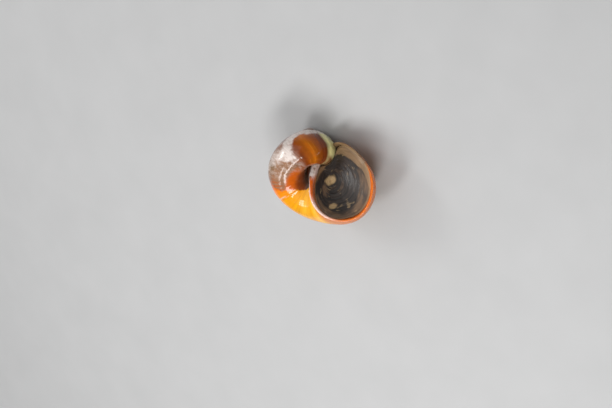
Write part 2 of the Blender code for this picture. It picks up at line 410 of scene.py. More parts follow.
def stain_at(back, around):
    """Where the sharp edge of an older, brown growth has been passed, on the side that faces
    the umbilicus."""
    around_degrees = around / DEG % 360
    places = [180, 200, 212, 226, 240, 250, 262, 275, 288, 304]
    edge = np.interp(around_degrees, places, [76, 90, 112, 136, 153, 158, 163, 168, 174, 180])
    edge = edge + 3 * noise(31, around * 6, back * 3) + 1.5 * noise(32, around * 18, back * 8)
    return smooth(-1, 3, back / DEG - edge) * smooth(150, 172, around_degrees) * smooth(312, 292, around_degrees)


def painted_glare_at(back, around):
    """Painted reflection: pale, finely mottled white on the outer side of the brown growth,
    strongest along its near edge, standing in for the glare of the sky on the wet shell."""
    degrees, length = back / DEG, length_at(back)
    unrolled = (around / DEG + 150) % 360 + 210
    places = [190, 215, 236, 246, 253, 256, 273, 284, 312, 340]
    start = np.interp(degrees, places, [338, 322, 300, 289, 292, 300, 348, 360, 370, 378])
    patches = layered(18, 4, length / 2.6, around * 4)
    past = unrolled - start + 14 * patches
    zone = smooth(-10, 8, past) * mix(1, smooth(75, 25, past), 0.85)
    zone = zone * smooth(186, 214, degrees + 8 * patches) * smooth(362, 334, degrees + 10 * patches)
    # The crest is the brightest part of the painted reflection, along its near edge.
    crest = smooth(-6, 6, past) * smooth(54, 24, past) * smooth(225, 246, degrees) * smooth(362, 338, degrees)
    grain = layered(19, 3, length / 0.5, around * 16) + 0.7 * noise(20, length / 1.4, around * 5)
    speckles = 0.34 * smooth(-0.3, 0.6, grain + 0.5 * patches) * smooth(-75, -20, past) * smooth(188, 212, degrees)
    speckles = speckles * smooth(270, 244, degrees) * (1 - zone)
    return np.clip(speckles + zone * (0.42 + 0.3 * np.clip(grain, -1, 1)) + crest * (0.62 + 0.18 * grain), 0, 0.97)


def shell_tint(back, around):
    length = length_at(back)
    wander = 2.2 * noise(11, length / 9, around * 1.6) + 0.9 * noise(12, length / 3, around * 4)
    degrees = back / DEG
    around_degrees = around / DEG % 360
    tint = band_colour(degrees + wander)
    low_side = smooth(180, 200, around_degrees) * smooth(306, 288, around_degrees)
    tint = blend(tint, RED_BROWN * 0.8, 0.9 * low_side * bump(degrees, 345, 22))
    streak = noise(13, length / 0.7, around * 0.5) * 0.5 + noise(14, length / 2.1, around * 0.7) * 0.6
    tint = tint * (1 + 0.2 * streak)[..., None]
    for place, wide in YELLOW_LINES:
        faint = smooth(-0.4, 0.5, noise(22, degrees * 0 + place, around * 2.4))
        tint = blend(tint, mix(AMBER, GOLD_PALE, 0.3), 0.5 * faint * bump(degrees + 0.5 * wander, place, wide))
    cloud = smooth(0.0, 0.6, layered(15, 3, length / 5, around * 3))
    tint = blend(tint, tint * np.array([0.72, 0.8, 0.9]), 0.6 * cloud * smooth(170, 215, degrees))
    stain = stain_at(back, around)
    # Painted shade: darker umber down in the umbilicus, where the recess lies in shade.
    umbilicus_shade = smooth(226, 198, around_degrees) * smooth(168, 186, around_degrees)
    rusty = mix(ORANGE, RED_BROWN, 0.45)
    stained = blend(rusty + 0 * tint, GREY_BROWN, smooth(256, 268, around_degrees))
    stained = blend(stained, mix(RED_BROWN, DARK_BROWN, 0.15), smooth(246, 228, around_degrees))
    stained = blend(stained, UMBER, umbilicus_shade)
    passed = smooth(26, 6, degrees - np.interp(around_degrees, [262, 275, 304], [163, 168, 180]))
    rusty_streaks = smooth(-0.3, 0.4, noise(21, length / 0.8, around * 0.6)) * smooth(262, 272, around_degrees)
    stained = blend(stained, mix(ORANGE, RED_BROWN, 0.65), 0.85 * passed * rusty_streaks)
    tint = blend(tint, stained, stain * smooth(262, 205, degrees))
    rest = bump(degrees + wander, 153 + 0 * around, 1.5) * smooth(262, 270, around_degrees)
    tint = blend(tint, PINK_WHITE, 0.6 * rest)
    callus = smooth(196, 178, around_degrees) * smooth(90, 150, around_degrees) * smooth(125, 60, degrees)
    tint = blend(tint, PINK_WHITE * 0.8, callus)
    # Painted reflection: a pale band along the shoulder, standing in for the white glare along the shell's top edge.
    shoulder = smooth(52, 88, around_degrees) * smooth(140, 120, around_degrees) * smooth(120, 220, degrees)
    tint = blend(tint, mix(PINK_WHITE, GREY_BROWN, 0.3), 0.5 * shoulder)
    mottle = layered(17, 3, length / 1.6, around * 6)
    tint = tint * (1 + 0.13 * mottle)[..., None]
    low_rim = smooth(84, 30, degrees) * smooth(186, 215, around_degrees) * smooth(350, 310, around_degrees)
    tint = blend(tint, mix(ORANGE, GOLD, 0.3) * 0.72, 0.9 * low_rim)
    # Painted reflection: the pale glare of the sky laid into the colour of the brown growth.
    tint = blend(tint, mix(WEAR_AND_GLARE_WHITE, GREY_BROWN, 0.08), painted_glare_at(back, around))
    sunny = smooth(274, 312, around_degrees) * smooth(50, 100, degrees) * smooth(168, 150, degrees)
    tint = blend(tint, mix(ORANGE, GOLD, 0.3), 0.9 * sunny)
    worn = wear_at(back, around)
    bare = blend(WORN_GREY + 0 * tint, WEAR_AND_GLARE_WHITE, smooth(-0.4, 0.5, layered(73, 3, length / 1.2, around * 5)))
    bare = blend(bare, PINK_WHITE, smooth(2.2, 3.2, back / TURN) * 0.6)
    return np.clip(blend(tint, bare, worn), 0, 1), worn


def relief_at(back, around, to_edge):
    """How deep the skin lies under its smooth surface, in mm. to_edge is the angle to the
    nearer suture."""
    length = length_at(back)
    drift = length + 0.25 * noise(41, length / 5, around * 1.4) + 0.1 * noise(42, length / 1.6, around * 4)
    strength = 0.35 + 0.65 * smooth(-0.5, 0.6, noise(43, length / 7, around * 1.2))
    growth = 0.5 + 0.5 * noise(44, drift / 0.42)
    waves = 0.5 + 0.5 * noise(45, drift / 1.3)
    swells = 0.5 + 0.5 * noise(46, drift / 4.5, around * 0.4)
    spread = np.clip((AXIS_DISTANCE + section(around)[0]) / (AXIS_DISTANCE + HALF_WIDTH), 0.12, 1)
    depth = spread * strength * (0.016 * growth + 0.035 * waves) + 0.07 * swells
    dents = layered(47, 3, length / 3.6, around * 3.2)
    depth = depth + mix(0.05, 0.13, smooth(1.4, 3.2, back)) * (0.5 + 0.5 * dents)
    for place, deep, wide in RESTS:
        depth = depth + deep * bump(drift, length_at(place * DEG), wide)
    folds = 0.5 + 0.5 * noise(48, drift / 1.1)
    depth = depth + 0.12 * spread * folds * np.exp(-to_edge / 0.14)
    worn = wear_at(back, around)
    pits = smooth(0.05, 0.75, layered(49, 3, length / 0.9, around * 5 * np.exp(-GROWTH_RATE * back) * 3))
    fade = np.exp(-GROWTH_RATE * np.maximum(back - TURN, 0))
    return (depth + worn * (0.05 + 0.16 * pits)) * fade + 0 * worn


# Growth rests: degrees back, depth and width in mm
RESTS = [(152, 0.12, 0.4), (176, 0.05, 0.3), (262, 0.06, 0.4), (318, 0.1, 0.5), (430, 0.08, 0.4), (540, 0.07, 0.4)]


# Meshes


def new_piece(name, points, faces, material, attributes=None, uvs=None, normals=None):
    mesh = bpy.data.meshes.new(name)
    mesh.vertices.add(len(points))
    mesh.vertices.foreach_set("co", np.ascontiguousarray(points, np.float32).ravel())
    faces = np.asarray(faces)
    mesh.loops.add(faces.size)
    mesh.loops.foreach_set("vertex_index", faces.ravel().astype(np.int32))
    mesh.polygons.add(len(faces))
    mesh.polygons.foreach_set("loop_start", np.arange(0, faces.size, faces.shape[1], dtype=np.int32))
    mesh.update(calc_edges=True)
    for key, values in (attributes or {}).items():
        values = np.asarray(values, np.float32)
        kind = "FLOAT" if values.ndim == 1 else "FLOAT_COLOR"
        if kind == "FLOAT_COLOR":
            values = np.concatenate([values, np.ones((len(values), 1), np.float32)], 1)
        layer = mesh.attributes.new(key, kind, "POINT")
        layer.data.foreach_set("value" if kind == "FLOAT" else "color", values.ravel())
    if uvs is not None:
        layer = mesh.uv_layers.new(name="OFBake")
        layer.data.foreach_set("uv", np.asarray(uvs, np.float32)[faces.ravel()].ravel())
    mesh.polygons.foreach_set("use_smooth", np.ones(len(faces), bool))
    if normals is not None:
        mesh.normals_split_custom_set_from_vertices(normals.tolist())
    mesh.materials.append(material)
    obj = bpy.data.objects.new(name, mesh)
    bpy.context.scene.collection.objects.link(obj)
    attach(obj, "root")
    return obj


def grid_faces(rows, columns, keep=None, closed=False):
    """Quads of a grid of points, without those that keep rules out."""
    row = np.arange(rows - 1)[:, None]
    column = np.arange(columns if closed else columns - 1)[None]
    following = (column + 1) % columns
    corners = [row * columns + column, row * columns + following]
    corners += [(row + 1) * columns + following, (row + 1) * columns + column]
    quads = np.stack([np.broadcast_to(c, (rows - 1, column.size)) for c in corners], -1)
    quads = quads.reshape(-1, 4)
    return quads if keep is None else quads[keep.ravel()]


def trimmed(points, faces, *others):
    """The grid without the points that no face uses."""
    used = np.unique(faces)
    new_index = np.zeros(len(points), np.int64)
    new_index[used] = np.arange(len(used))
    return points[used], new_index[faces], *(other[used] for other in others)


def skin_grid(start, end, rows, columns):
    """A length of the shell's skin with its relief, in the shell frame."""
    lengths = np.linspace(length_at(start), length_at(end), rows)
    pad = lengths[1] - lengths[0]
    lengths = np.concatenate([[lengths[0] - pad], lengths, [lengths[-1] + pad]])
    back = back_at(lengths)
    top = edge_angle(back, 1)
    bottom = edge_angle(back, -1) if start < 2 * TURN else top - TURN
    share = np.linspace(0, 1, columns)[None]
    around = mix(top[:, None], bottom[:, None], share)
    back = np.broadcast_to(back[:, None], around.shape)
    smooth_points = surface(back, around)
    normal = normals_of(smooth_points)
    to_edge = np.minimum(top[:, None] - around, around - bottom[:, None])
    depth = SKIN_DEPTH + relief_at(back, around, to_edge) * MM
    points = smooth_points - depth[..., None] * normal
    tip = np.clip((back - TIP_START) / (TIP_END - TIP_START), 0, 1)
    middle = surface(back, 0.0, share=0.0)
    points = middle + (points - middle) * np.sqrt(1 - tip**2)[..., None]
    relief_normal = normals_of(points)
    inner = slice(1, -1)
    return back[inner], around[inner], points[inner], relief_normal[inner]


def shown_quads(back, around, points):
    """Which quads no newer length of the shell covers."""
    turn = turn_at(back, around)
    reach, newer_around = reach_in_whorl(points, turn - TURN)
    newer_back = turn - TURN - turn_at(0, newer_around)
    hidden = (reach < 1 - HIDDEN_DEPTH) & (newer_back > MOUTH_ROOM)
    corner = hidden[:-1, :-1] & hidden[1:, :-1] & hidden[:-1, 1:] & hidden[1:, 1:]
    return ~corner


def skin(name, material):
    start, end, rows, columns = SKINS[name]
    back, around, points, normal = skin_grid(start, end, rows, columns)
    keep = shown_quads(back, around, points)
    tint, worn = shell_tint(back, around)
    faces = grid_faces(rows, columns, keep)
    row_share = np.broadcast_to(np.linspace(0, 1, rows)[:, None], back.shape)
    column_share = np.broadcast_to(np.linspace(0, 1, columns)[None], back.shape)
    flat = [part.reshape(-1, part.shape[-1]) for part in (placed(points), tint, normal @ LIE.T)]
    singles = [np.ravel(part) for part in (worn, length_at(back), around, row_share, column_share)]
    points, faces, tint, normal, worn, length, around, row_share, column_share = trimmed(
        flat[0], faces, flat[1], flat[2], *singles
    )
    attributes = {"tint": tint, "worn": worn, "growth": length, "around": around}
    uvs = np.stack([row_share, column_share], -1)
    obj = new_piece(name + "_skin", points, faces, material, attributes, uvs, normal)
    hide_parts(name)
    return obj


# Materials


class Nodes:
    """A short hand for building a node tree."""

    def __init__(self, name):
        self.material = bpy.data.materials.new(name)
        self.material.use_nodes = True
        self.tree = self.material.node_tree
        self.shader = self.tree.nodes["Principled BSDF"]

    def link(self, value, socket):
        if isinstance(value, bpy.types.NodeSocket):
            self.tree.links.new(value, socket)
        else:
            socket.default_value = value

    def attribute(self, name, output="Fac"):
        node = self.tree.nodes.new("ShaderNodeAttribute")
        node.attribute_name = name
        return node.outputs[output]

    def math(self, operation, first, second=0.0):
        node = self.tree.nodes.new("ShaderNodeMath")
        node.operation = operation
        self.link(first, node.inputs[0])
        self.link(second, node.inputs[1])
        return node.outputs[0]

    def vector(self, *parts):
        node = self.tree.nodes.new("ShaderNodeCombineXYZ")
        for part, socket in zip(parts, node.inputs):
            self.link(part, socket)
        return node.outputs[0]

    def noise(self, vector, scale, detail=3.0, roughness=0.55):
        node = self.tree.nodes.new("ShaderNodeTexNoise")
        node.inputs["Scale"].default_value = scale
        node.inputs["Detail"].default_value = detail
        node.inputs["Roughness"].default_value = roughness
        self.link(vector, node.inputs["Vector"])
        return node.outputs["Fac"]

    def ramp(self, value, *stops):
        node = self.tree.nodes.new("ShaderNodeValToRGB")
        marks = node.color_ramp.elements
        while len(marks) < len(stops):
            marks.new(1.0)
        for mark, (place, shade) in zip(marks, stops):
            mark.position = place
            mark.color = (*shade, 1.0) if np.ndim(shade) else (shade, shade, shade, 1.0)
        self.link(value, node.inputs[0])
        return node.outputs[0]

    def mixed(self, share, first, second, kind="MIX"):
        node = self.tree.nodes.new("ShaderNodeMix")
        node.data_type = "RGBA"
        node.blend_type = kind
        self.link(share, node.inputs[0])
        for value, index in ((first, 6), (second, 7)):
            if not isinstance(value, bpy.types.NodeSocket):
                value = (*value, 1.0)
            self.link(value, node.inputs[index])
        return node.outputs[2]

    def bump(self, height, distance, strength=1.0):
        node = self.tree.nodes.new("ShaderNodeBump")
        node.inputs["Distance"].default_value = distance
        node.inputs["Strength"].default_value = strength
        self.link(height, node.inputs["Height"])
        return node.outputs[0]

    def set(self, **values):
        for name, value in values.items():
            self.link(value, self.shader.inputs[name.replace("_", " ")])


def shell_material():
    made = Nodes("wet_shell")
    length, around = made.attribute("growth"), made.attribute("around")
    worn = made.attribute("worn")
    lines = made.vector(length, made.math("MULTIPLY", around, 0.35), 0.0)
    streaks = made.noise(lines, 3.2, 5.0, 0.7)
    grit = made.noise(made.vector(length, made.math("MULTIPLY", around, 14.0), 0.0), 2.2, 4.0)
    tint = made.mixed(0.75, made.attribute("tint", "Color"), made.ramp(streaks, (0.3, 0.78), (0.7, 1.16)), "MULTIPLY")
    tint = made.mixed(0.35, tint, made.ramp(grit, (0.35, 0.84), (0.65, 1.08)), "MULTIPLY")
    rough = made.ramp(made.math("ADD", made.math("MULTIPLY", grit, 0.3), worn), (0.1, 0.22), (0.9, 0.55))
    height = made.math("ADD", made.math("MULTIPLY", streaks, 0.6), made.math("MULTIPLY", grit, 0.5))
    made.set(
        Base_Color=tint,
        Roughness=rough,
        Normal=made.bump(height, 0.00004),
        Specular_IOR_Level=0.1,
        Coat_Weight=made.ramp(made.math("MULTIPLY", length, 0.01), (0.12, 0.08), (0.34, 0.8)),
        Coat_Roughness=0.05,
        Coat_IOR=1.38,
    )
    return made.material


def lip_material(name, pale):
    made = Nodes(name)
    streaks = made.noise(made.vector(made.attribute("growth"), made.attribute("around"), 0.0), 3.0, 4.0)
    tint = made.mixed(0.5, made.attribute("tint", "Color"), made.ramp(streaks, (0.3, 0.75), (0.7, 1.2)), "MULTIPLY")
    made.set(
        Base_Color=tint,
        Roughness=made.ramp(streaks, (0.3, 0.18), (0.7, 0.3)),
        Normal=made.bump(streaks, 0.00005),
        Specular_IOR_Level=0.15,
        Coat_Weight=0.5,
        Coat_Roughness=0.04,
    )
    return made.material


def operculum_material():
    made = Nodes("wet_horn")
    ring = made.attribute("ring")
    across, up = made.attribute("across"), made.attribute("up")
    fine = made.noise(made.vector(made.math("MULTIPLY", ring, 9.0), across, up), 3.0, 6.0, 0.65)
    flecks = made.noise(made.vector(made.math("MULTIPLY", ring, 3.0), across, up), 14.0, 3.0)
    tint = made.mixed(0.85, made.attribute("tint", "Color"), made.ramp(fine, (0.32, 0.65), (0.7, 1.35)), "MULTIPLY")
    made.set(
        Base_Color=tint,
        Roughness=made.ramp(flecks, (0.3, 0.35), (0.7, 0.55)),
        Normal=made.bump(made.math("ADD", fine, made.math("MULTIPLY", flecks, 0.4)), 0.00008),
        Specular_IOR_Level=0.35,
        Coat_Weight=0.12,
        Coat_Roughness=0.15,
    )
    return made.material


def foot_material():
    made = Nodes("wet_flesh")
    place = made.vector(made.attribute("around"), made.attribute("growth"), 0.0)
    folds = made.noise(place, 6.0, 4.0)
    tint = made.ramp(folds, (0.3, colour(52, 40, 31)), (0.7, colour(104, 82, 60)))
    made.set(Base_Color=tint, Roughness=made.ramp(folds, (0.3, 0.2), (0.7, 0.35)), Coat_Weight=0.5,
             Coat_Roughness=0.1, Normal=made.bump(folds, 0.0001))
    return made.material


# The lips


def callus_share(around):
    share = np.clip((CALLUS_START - around) / (CALLUS_START - UMBILICUS_SIDE), 0, 1)
    return share * share * (3 - 2 * share)


def lip_profile(around, steps_in=40, steps_round=30, steps_out=10):
    """The lip's rows of points, from the outer skin over the rounded edge to the inner wall."""
    radius = mix(LIP_RADIUS, COLUMELLAR_LIP_RADIUS, columella_share(around))
    centre_depth = 2 * LIP_RADIUS - radius
    line = surface(0.0, around, centre_depth)
    along = np.gradient(line, axis=0)
    along /= np.linalg.norm(along, axis=1)[:, None]
    outward = line - surface(0.0, around, centre_depth + MM)
    outward -= (outward * along).sum(1)[:, None] * along
    outward /= np.linalg.norm(outward, axis=1)[:, None]
    sideways = np.cross(along, outward)
    ahead = surface(-0.01, around, centre_depth) - line
    sideways *= np.sign((sideways * ahead).sum(1))[:, None]
    size = (radius - SKIN_DEPTH)[None]
    lumps = 1 - 0.1 * (0.5 + 0.5 * layered(61, 3, around * 7))
    rows, kinds = [], []
    swelling = columella_share(around)
    for back in np.linspace(0.22, 0.03, steps_out):
        lift = swelling * (centre_depth - radius) * smooth(0.25, 0.0, back)
        rows.append(surface(back, around, SKIN_DEPTH * 1.6 + lift + 0.5 * MM * smooth(0.03, 0.12, back)))
        kinds.append(-back)
    wrinkle = 1 - 0.06 * (0.5 + 0.5 * noise(62, around * 26))
    callus = callus_share(around)
    wide = CALLUS_REACH / 2 * callus
    first_angle = mix(0.15, -1.3, callus)
    for share in np.linspace(0, 1, steps_round):
        angle = mix(first_angle, math.pi - 0.1, share)
        knobs = 1 - callus * 0.5 * (0.5 + 0.5 * layered(65, 3, around * 8, angle * 1.6))
        reach = size[0] * lumps * wrinkle
        out = ((reach + wide) * np.cos(angle) + wide)[:, None] * outward
        rows.append(line + out + (reach * knobs * np.sin(angle))[:, None] * sideways)
        kinds.append(mix(0.15, math.pi - 0.1, share))
    inner = mix(WALL, COLUMELLA_WALL, columella_share(around))
    for share in np.linspace(0, 1, steps_in):
        back = mix(0.02, 0.4, share**1.6)
        depth = mix(centre_depth + radius - SKIN_DEPTH, inner, smooth(0.0, 0.15, back))
        depth = depth + LEDGE * ledge_share(around) * smooth(0.01, 0.06, back)
        ripple = 0.04 * MM * noise(63, around * 9 + 0 * back, back * 40 + 0 * around)
        rows.append(surface(back, around, depth + SKIN_DEPTH * 0.5 + ripple))
        kinds.append(math.pi + back)
    return np.stack(rows), np.array(kinds)


def ledge_share(around):
    """Where the inner wall swells into a ledge behind the outer lip, 0 to 1."""
    return smooth(0.1, -0.5, around) * smooth(-2.1, -1.5, around)


def lip_piece(name, start, end, columns, material):
    around = np.linspace(start, end, columns)
    rows, kinds = lip_profile(around)
    count = len(kinds)
    kind = np.broadcast_to(kinds[:, None], (count, columns))
    angle = np.broadcast_to(around[None], (count, columns))
    pale = smooth(LIP_MEETING + 0.25, LIP_MEETING - 0.5, angle)
    edge = colour(212, 108, 22) * np.ones((count, columns, 3))
    dirty = blend(TAN_BROWN + 0 * edge, DARK_BROWN, 0.7 * smooth(-0.2, 0.4, layered(67, 3, angle * 7, kind)))
    old_edge = smooth(math.radians(-22), math.radians(4), angle) * smooth(1.56, 1.44, angle)
    edge = blend(edge, dirty, old_edge)
    edge = blend(edge, PINK_WHITE * 0.95, pale)
    by_axis = smooth(math.radians(-150), math.radians(-175), angle)
    # Painted highlight: white on both sides of the lip's edge by the axis, with the lip's own orange kept in its
    # middle.
    edge = blend(edge, WEAR_AND_GLARE_WHITE, 0.6 * by_axis)
    edge = blend(edge, colour(226, 104, 24), by_axis * smooth(0.7, 1.1, kind) * smooth(2.7, 2.3, kind))
    callus = callus_share(angle)
    dirt = smooth(-0.6, 0.0, layered(66, 3, angle * 12, kind * 2.4))
    edge = blend(edge, blend(np.broadcast_to(colour(150, 132, 112), edge.shape), colour(250, 246, 240), dirt), smooth(0.2, 0.5, callus))
    inside = blend(np.broadcast_to(colour(206, 88, 2), edge.shape), colour(228, 140, 84), pale)
    inside = blend(inside, TAN_BROWN * 0.8, old_edge)
    inside = blend(inside, colour(206, 120, 74), by_axis * smooth(0.55, 0.25, callus_share(angle)))
    inside = blend(inside, PINK_WHITE * 0.7, smooth(0.3, 0.6, callus_share(angle)))
    outer = band_colour(np.maximum(-kind, 0) / DEG)
    outer = blend(outer, PINK_WHITE * 0.9, pale * 0.9 * smooth(-0.1, -0.035, kind))
    tint = blend(outer, edge, smooth(0.0, 0.7, kind))
    tint = blend(tint, inside, smooth(1.9, 2.9, kind))
    shade = layered(64, 3, angle * 9, kind * 1.5)
    tint = np.clip(tint * (1 + 0.16 * shade)[..., None], 0, 1)
    turn = turn_at(np.clip(np.where(kind > math.pi, kind - math.pi, 0), 0, 1), angle)
    reach, _ = reach_in_whorl(rows, turn + TURN)
    hidden = reach < 0.9
    keep = ~(hidden[:-1, :-1] & hidden[1:, 1:] & hidden[1:, :-1] & hidden[:-1, 1:])
    points = placed(rows).reshape(-1, 3)
    faces = grid_faces(count, columns, keep)
    uvs = np.stack(np.meshgrid(np.linspace(0, 1, count), np.linspace(0, 1, columns), indexing="ij"), -1)
    points, faces, tint, kind, angle, uvs = trimmed(
        points, faces, tint.reshape(-1, 3), kind.ravel(), angle.ravel(), uvs.reshape(-1, 2)
    )
    attributes = {"tint": tint, "growth": kind, "around": angle * 6}
    obj = new_piece(name + "_edge", points, faces, material, attributes, uvs)
    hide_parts(name)
    return obj


# The operculum and the foot

MOUTH_TURN_RANGE = np.linspace(0, TURN, 361)[:-1]


def mouth_point(across, up, seat=OPERCULUM_SEAT):
    """A point of the sheet that the operculum lies in, from its place in a unit circle."""
    round_angle, out = np.arctan2(up, across), np.hypot(across, up)
    sunk = OPERCULUM_SINK * ledge_share(round_angle) * smooth(0.3, 0.9, out)
    return surface(seat + sunk, round_angle, share=out)


def rim_reach(angles, margin):
    """How far the operculum goes from its nucleus at each angle, in the unit circle."""
    shares = np.linspace(0, 1.7, 600)[None]
    across = NUCLEUS_ACROSS + shares * np.cos(angles)[:, None]
    up = NUCLEUS_UP + shares * np.sin(angles)[:, None]
    round_angle = np.arctan2(up, across)
    wall = mix(WALL, COLUMELLA_WALL, columella_share(round_angle)) + margin
    wall = wall + LEDGE * ledge_share(round_angle)
    reach = mix(HALF_WIDTH, HALF_HEIGHT, np.abs(np.sin(round_angle)))
    in_wall = np.hypot(across, up) < 1 - wall / reach
    points = mouth_point(across, up)
    turn = turn_at(OPERCULUM_SEAT, round_angle, np.hypot(across, up))
    older, _ = reach_in_whorl(points, turn + TURN)
    clear = older > 1 + margin / (HALF_WIDTH * math.exp(-GROWTH_RATE * TURN))
    good = in_wall & clear
    first_bad = np.argmin(good, axis=1)
    return shares[0][np.maximum(first_bad - 1, 0)]


def operculum_points(ring, angles, reach, depth):
    across = NUCLEUS_ACROSS + ring * reach * np.cos(angles)
    up = NUCLEUS_UP + ring * reach * np.sin(angles)
    point = mouth_point(across, up)
    to_side = mouth_point(across + NUDGE, up) - point
    to_top = mouth_point(across, up + NUDGE) - point
    inward = np.cross(to_top, to_side)
    inward /= np.linalg.norm(inward, axis=-1)[..., None]
    return point + depth[..., None] * inward


def smoothed_loop(values, passes):
    for _ in range(passes):
        values = np.minimum(values, (np.roll(values, 1) + values + np.roll(values, -1)) / 3)
    return values


# Growth steps of the operculum: how far out, and how high in mm
STEPS = [(0.12, 0.06), (0.22, 0.09), (0.34, 0.13), (0.45, 0.05), (0.52, 0.1), (0.63, 0.14), (0.72, 0.05), (0.8, 0.1), (0.9, 0.06)]


def operculum(material):
    sides, rings, back_rings = 320, 150, 12
    angles = np.linspace(0, TURN, sides, endpoint=False)
    reach = smoothed_loop(rim_reach(angles, OPERCULUM_MARGIN), 60)
    ring = np.linspace(0.004, 1, rings)[:, None] + np.zeros((rings, sides))
    angle = np.broadcast_to(angles[None], (rings, sides))
    x, y = np.cos(angle), np.sin(angle)
    warp = ring + 0.022 * noise(81, x * 1.6, y * 1.6, ring * 5) + 0.009 * noise(82, x * 4, y * 4, ring * 12)
    steps = 0
    for place, high in STEPS:
        wide = 0.012 + 0.008 * noise(86, x * 2 + place * 50, y * 2)
        steps = steps + smooth(place - wide, place + wide, warp) * high
    fine = 0.014 * noise(83, warp * 40) + 0.024 * noise(84, warp * 18, x * 1.2, y * 1.2)
    pits = 0.07 * smooth(0.2, 0.8, layered(85, 3, x * ring * 8, y * ring * 8))
    band = band_share(NUCLEUS_ACROSS + ring * reach * x, NUCLEUS_UP + ring * reach * y)
    lift = (steps - 0.77 * warp + (fine - pits) * (1 - 0.7 * band)) * MM
    lift = np.minimum(lift, 0.05 * MM)
    depth = OPERCULUM_DISH * (1 - ring**2) - lift + 0.25 * MM * smooth(0.93, 1.0, ring)
    depth = depth + 0.28 * MM * bump(ring, 0.0, 0.06)
    front = operculum_points(ring, angle, reach[None], depth)
    back_ring = np.linspace(1, 0.02, back_rings)[:, None] + np.zeros((back_rings, sides))
    thick = OPERCULUM_THICKNESS * (1 - RIM_THINNING * back_ring) + OPERCULUM_DISH * (1 - back_ring**2)
    back_angle = np.broadcast_to(angles[None], (back_rings, sides))
    behind = operculum_points(back_ring, back_angle, reach[None], thick)
    rows = np.concatenate([front, behind])
    ring_all = np.concatenate([ring, back_ring])
    angle_all = np.concatenate([angle, back_angle])
    warp_all = np.concatenate([warp, np.ones((back_rings, sides))])
    across = NUCLEUS_ACROSS + ring_all * reach * np.cos(angle_all)
    up = NUCLEUS_UP + ring_all * reach * np.sin(angle_all)
    tint = operculum_tint(across, up, warp_all)
    points = placed(rows).reshape(-1, 3)
    faces = grid_faces(len(rows), sides, closed=True)[:, ::-1]
    attributes = {
        "tint": tint.reshape(-1, 3),
        "ring": warp_all.ravel(),
        "across": across.ravel(),
        "up": up.ravel(),
    }
    obj = new_piece("operculum_plate", points, faces, material, attributes)
    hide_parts("operculum")
    return obj


def band_share(across, up):
    """Where the thin tan band lies along the operculum's upper and outer margin."""
    degrees = np.degrees(np.arctan2(up, across))
    places = [-180, -80, -60, -40, -30, -10, 20, 70, 100, 130, 160, 180]
    limit = np.interp(degrees, places, [0.93, 0.97, 0.95, 0.86, 0.79, 0.73, 0.69, 0.71, 0.72, 0.78, 0.84, 0.93])
    wander = 0.05 * layered(94, 3, across * 4, up * 4)
    return smooth(limit - 0.02, limit + 0.025, np.hypot(across, up) + wander)


def spot(across, up, centre, radius):
    """A round spot on the operculum, its edge a little ragged."""
    off = np.hypot((across - centre[0]) * HALF_WIDTH, (up - centre[1]) * HALF_HEIGHT)
    ragged = 1 + 0.3 * layered(96, 3, across * 9, up * 9)
    return smooth(1.4, 0.7, off * ragged / radius)


def operculum_tint(across, up, warp):
    black = colour(42, 34, 29)
    deep = colour(22, 18, 16)
    brown = colour(106, 82, 60)
    bands = noise(91, warp * 22) * 0.5 + noise(92, warp * 44, across, up) * 0.5
    tint = blend(black + 0 * warp[..., None], deep, smooth(-0.2, 0.5, bands))
    patch = layered(93, 3, across * 3.2, up * 3.2, warp * 6)
    tint = blend(tint, brown, 0.7 * smooth(0.1, 0.55, patch + 0.3 * bands))
    out = np.hypot(across, up)
    tint = blend(tint, brown, 0.75 * smooth(0.68, 0.9, out + 0.25 * patch) * smooth(0.1, -0.5, up))
    flecks = smooth(0.3, 0.55, layered(97, 3, across * 7, up * 7, warp * 16))
    tint = blend(tint, TAN, 0.38 * flecks)
    tint = blend(tint, deep, 0.6 * spot(across, up, (-0.02, 0.22), 4.6 * MM))
    tint = blend(tint, deep, 0.85 * spot(across, up, (NUCLEUS_ACROSS + 0.04, NUCLEUS_UP + 0.03), 3.1 * MM))
    tan_band = blend(TAN_BROWN * 0.75 + 0 * tint, TAN_BROWN * 0.95, smooth(-0.3, 0.4, layered(98, 3, across * 3, up * 3)))
    tint = blend(tint, tan_band * (1 + 0.12 * bands[..., None]), 0.95 * band_share(across, up))
    tint = blend(tint, TAN * 0.9, 0.5 * smooth(0.955, 0.985, warp))
    tint = blend(tint, TAN * 0.9, 0.9 * spot(across, up, (NUCLEUS_ACROSS, NUCLEUS_UP), 1.9 * MM))
    tint = blend(tint, TAN * 0.75, 0.8 * spot(across, up, (-0.38, -0.5), 1.15 * MM))
    return np.clip(tint, 0, 1)


def foot(material):
    """The face of the drawn-in foot, seen only in the slit round the operculum."""
    around = np.linspace(0, TURN, 240, endpoint=False)
    wall = mix(WALL, COLUMELLA_WALL, columella_share(around)) + 0.1 * MM
    rows = []
    backs = []
    for share in np.linspace(0.05, 1, 40):
        seat = OPERCULUM_SEAT + 0.13
        inner = surface(seat, around, share=share)
        rim = surface(seat - 0.03 * share**8, around, wall)
        ring = inner if share < 0.9 else mix(surface(seat, around, share=0.9), rim, (share - 0.9) / 0.1)
        wrinkle = 0.12 * MM * layered(95, 3, np.cos(around) * 5 * share, np.sin(around) * 5 * share)
        rows.append(ring + wrinkle[:, None] * (surface(seat, 0.0, share=0) - surface(seat - 0.01, 0.0, share=0)) / MM * 0)
        backs.append(share)
    for extra in np.linspace(0.02, 0.3, 8):
        rows.append(surface(OPERCULUM_SEAT + 0.1 + extra, around, wall + 0.2 * MM))
        backs.append(1 + extra)
    rows = np.stack(rows)
    count = len(rows)
    points = placed(rows).reshape(-1, 3)
    faces = grid_faces(count, len(around), closed=True)
    kind = np.broadcast_to(np.array(backs)[:, None], (count, len(around)))
    attributes = {"growth": kind.ravel() * 8, "around": np.tile(around * 3, count)}
    obj = new_piece("foot_flesh", points, faces, material, attributes)
    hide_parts("foot")
    return obj


# Floor, camera and lights


